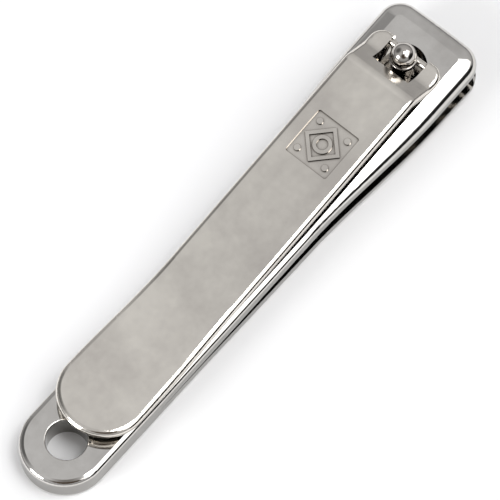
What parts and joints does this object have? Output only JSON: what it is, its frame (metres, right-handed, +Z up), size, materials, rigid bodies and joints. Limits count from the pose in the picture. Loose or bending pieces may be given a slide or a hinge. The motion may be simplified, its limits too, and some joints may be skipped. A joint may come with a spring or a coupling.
{
  "type": "nail clipper",
  "caption": "Flat steel nail clipper with bent jaws, a ball-headed pivot post, a fold-flat lever and a key-ring hole in the tail.",
  "frame": {"origin": "on the axis of the key-ring hole, in the plane of the lower jaw's flat underside", "axes": "+X along the clipper from the ring hole to the cutting edges, +Y to the clipper's left, +Z up, from the lower jaw to the lever"},
  "size_m": [0.06, 0.0112, 0.0091],
  "materials": {
    "jaw_steel": "polished",
    "lever_steel": "polished",
    "post_steel": "polished"
  },
  "bodies": {
    "lower_jaw_body": {"lower_jaw": "jaw_steel", "tail_rivet": "post_steel"},
    "upper_jaw_body": {"upper_jaw": "jaw_steel"},
    "post_body": {"pivot_post": "post_steel"},
    "lever_body": {"lever": "lever_steel"}
  },
  "joints": [
    {"name": "jaw_close", "type": "hinge", "parent": "lower_jaw_body", "child": "upper_jaw_body", "pos_m": [0.008, 0, 0.0015], "axis": [0, 1, 0], "range_deg": [0, 1.85], "stiffness_Nm_per_rad": 20, "springref_deg": -0.57},
    {"name": "post_turn", "type": "hinge", "parent": "lower_jaw_body", "child": "post_body", "pos_m": [0.0493, 0, 0.003], "axis": [0, 0, 1], "continuous": true},
    {"name": "lever_swing", "type": "hinge", "parent": "post_body", "child": "lever_body", "pos_m": [0.0502, 0, 0.0066], "axis": [0, 1, 0], "range_deg": [0, 150]}
  ]
}
